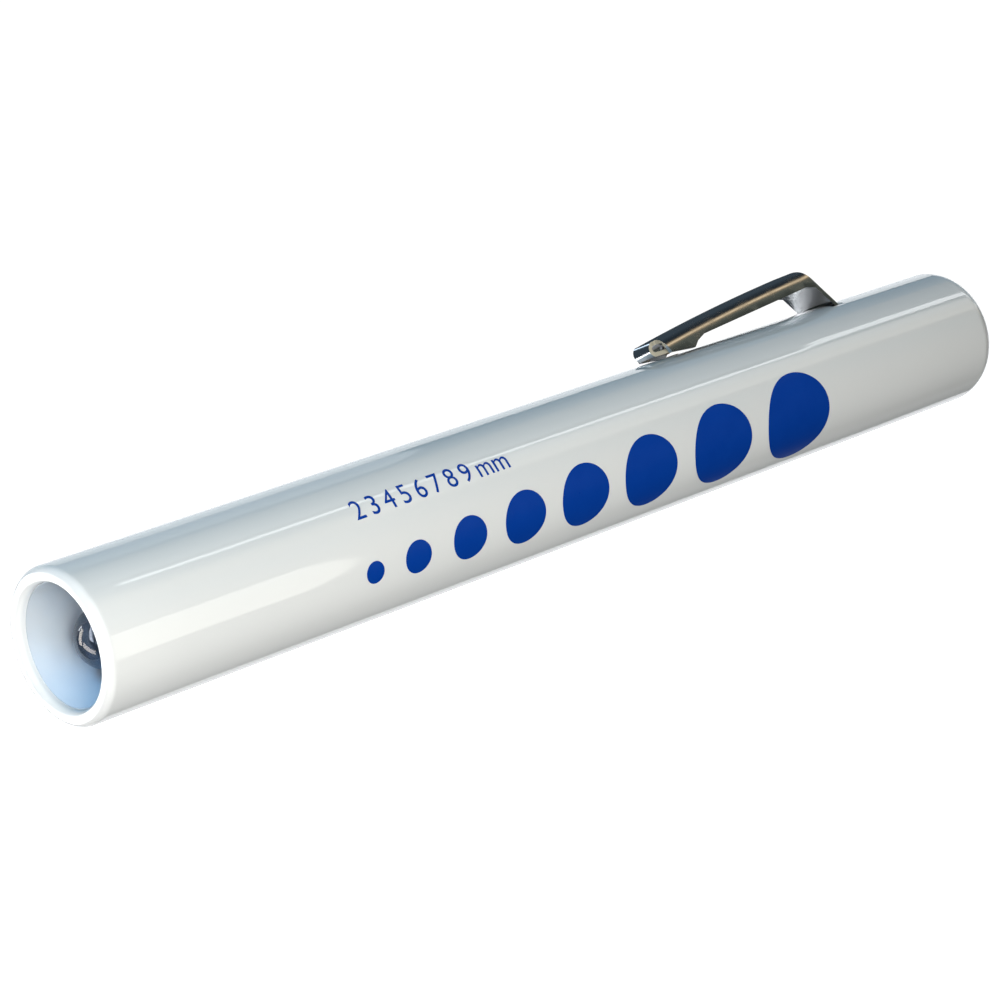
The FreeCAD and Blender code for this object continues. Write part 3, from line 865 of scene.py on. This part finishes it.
def light_tent():
    """A long tube round the barrel whose glow goes by the angle: 0 in front, 90 above, 180 behind."""

    def glow(finish):
        parts = finish.node("ShaderNodeSeparateXYZ", {}, {"Vector": finish.place})
        turn = parts.value("Z").turn_from(-parts.value("Y")) / (2 * math.pi) + 0.5
        stops = [((angle + 180) / 360, tuple(power * part for part in tint)) for angle, power, tint in TENT]
        return finish.node("ShaderNodeValToRGB", {"stops": stops}, {"Fac": turn}).value("Color")

    tube = begin("light_tent", bpy.ops.mesh.primitive_cylinder_add, vertices=180, radius=TENT_RADIUS,
                 depth=6.0, end_fill_type="NOTHING", location=(0.3, 0, 0), rotation=(0, math.pi / 2, 0))
    tube.data.materials.append(unlit("tent_light", glow))
    seen_by(tube, glossy=True)


def area_light(name, place, size, radiance, colour, aim=(0, 0, 0), mirrored=False, only_on=()):
    """A flat light on all pieces or on a few; it fills matt surfaces or, if mirrored, shows as a shape."""
    lamp = bpy.data.lights.new(name, "AREA")
    lamp.shape = "RECTANGLE"
    lamp.size, lamp.size_y = size
    lamp.energy = radiance * math.pi * size[0] * size[1]
    lamp.color = colour
    light = bpy.data.objects.new(name, lamp)
    bpy.context.scene.collection.objects.link(light)
    forward = (Vector(aim) - Vector(place)).normalized()
    side = Vector((0, 1, 0)) if abs(forward.x) > 0.9 else Vector((1, 0, 0))
    side = (side - forward * side.dot(forward)).normalized()
    turn = Matrix((side, side.cross(forward), -forward)).transposed().to_4x4()
    light.matrix_world = Matrix.Translation(place) @ turn
    light.visible_camera = False
    light.visible_diffuse = not mirrored
    light.visible_glossy = light.visible_transmission = mirrored
    if only_on:
        lit = bpy.data.collections.new("lit_by_" + name)
        for piece in only_on:
            lit.objects.link(bpy.data.objects[piece])
        light.light_linking.receiver_collection = lit


def strip_light(name, angle, width, radiance, colour, start, end, only_on):
    """A strip along the barrel at that angle round it, shown as a band in the mirrored surfaces."""
    turn = math.radians(angle)
    middle = (start + end) / 2
    place = (middle, -STRIP_DISTANCE * math.cos(turn), STRIP_DISTANCE * math.sin(turn))
    size = (end - start, 2 * STRIP_DISTANCE * math.tan(math.radians(width / 2)))
    area_light(name, place, size, radiance, colour, (middle, 0, 0), mirrored=True, only_on=only_on)


def barrel_cards():
    """Bands mirrored along the barrel, and a card mirrored in its rim."""
    for index, strip in enumerate(BARREL_STRIPS):
        strip_light(f"barrel_strip_{index}", *strip, ("barrel_shell", "gauge_spots", "scale_legend"))
    area_light("rim_card", (-0.27, 0.42, 0.0), (0.5, 0.5), 8.0, NEUTRAL, mirrored=True,
               only_on=("barrel_shell",))


def backdrop_and_floor():
    backdrop = begin("backdrop", bpy.ops.mesh.primitive_uv_sphere_add, segments=48, ring_count=24,
                     radius=BACKDROP_RADIUS)
    backdrop.data.materials.append(unlit("backdrop_white", (1.0, 1.0, 1.0), 1.05))
    seen_by(backdrop, camera=True)

    just_under = BARREL_LOW.z * MM - FLOOR_GAP
    floor = begin("floor", bpy.ops.mesh.primitive_plane_add, size=FLOOR_SIZE, location=(0, 0, just_under))
    pale = Finish("floor_pale", **{"Base Color": (0.85, 0.85, 0.85), "Roughness": 0.8,
                                   "Emission Color": (1.0, 1.0, 1.0), "Emission Strength": 1.0})
    floor.data.materials.append(pale.material)
    seen_by(floor, camera=True)


def fill_lights():
    """Soft light for the matt part of the surfaces, mirrored in none of them."""
    shell, well = ("barrel_shell",), ("lamp_well",)
    area_light("front_key", (-0.08, -0.22, -0.037), (0.12, 0.12), 12.0, (1.0, 1.0, 0.935), MID_BARREL)
    area_light("rear_fill", (0.26, -0.3, 0.0), (0.2, 0.2), 0.6, (1.0, 1.0, 0.95), REAR_END)
    area_light("sky_fill", (-0.1, -0.05, 0.25), (0.12, 0.12), 4.8, (0.37, 0.74, 1.0), MID_BARREL)
    area_light("back_fill", (0.14, 0.35, 0.06), (0.3, 0.16), 8.0, NEUTRAL, MID_BARREL, only_on=shell)
    area_light("opening_light", (-0.3, -0.08, -0.08), (0.1, 0.1), 20.0, LAMPLIGHT, only_on=shell)
    area_light("well_light", (-0.3, -0.08, -0.08), (0.1, 0.1), 5.0, LAMPLIGHT, only_on=well)
    area_light("opening_sky", (-0.15, -0.05, 0.25), (0.1, 0.1), 9.0, DEEP_SKY, only_on=well)


def lens_and_clip_cards():
    """Cards mirrored in the lens and in the clip's nose."""
    lens, clip = ("lens_bulb",), ("clip_arm",)
    area_light("lens_streak_upper", (-0.26, 0.27, 0.12), (0.1, 0.26), 8.0, AMBER, mirrored=True, only_on=lens)
    area_light("lens_streak_lower", (-0.34, 0.16, -0.12), (0.1, 0.3), 8.0, AMBER, mirrored=True, only_on=lens)
    area_light("lens_top", (-0.15, 0.39, 0.32), (0.25, 0.12), 8.0, NEUTRAL, mirrored=True, only_on=lens)
    area_light("nose_card", (0.17, 0.36, 0.34), (0.14, 0.16), 1.6, (0.7, 0.86, 1.0), (0.073, 0, 0.008),
               mirrored=True, only_on=clip)


def room():
    world = bpy.data.worlds.new("room")
    world.use_nodes = True
    world.node_tree.nodes["Background"].inputs["Color"].default_value = (0.86, 0.93, 1.0, 1.0)
    world.node_tree.nodes["Background"].inputs["Strength"].default_value = 0.06
    bpy.context.scene.world = world
    bpy.context.scene.view_settings.view_transform = "Standard"


camera()
light_tent()
barrel_cards()
backdrop_and_floor()
fill_lights()
lens_and_clip_cards()
room()
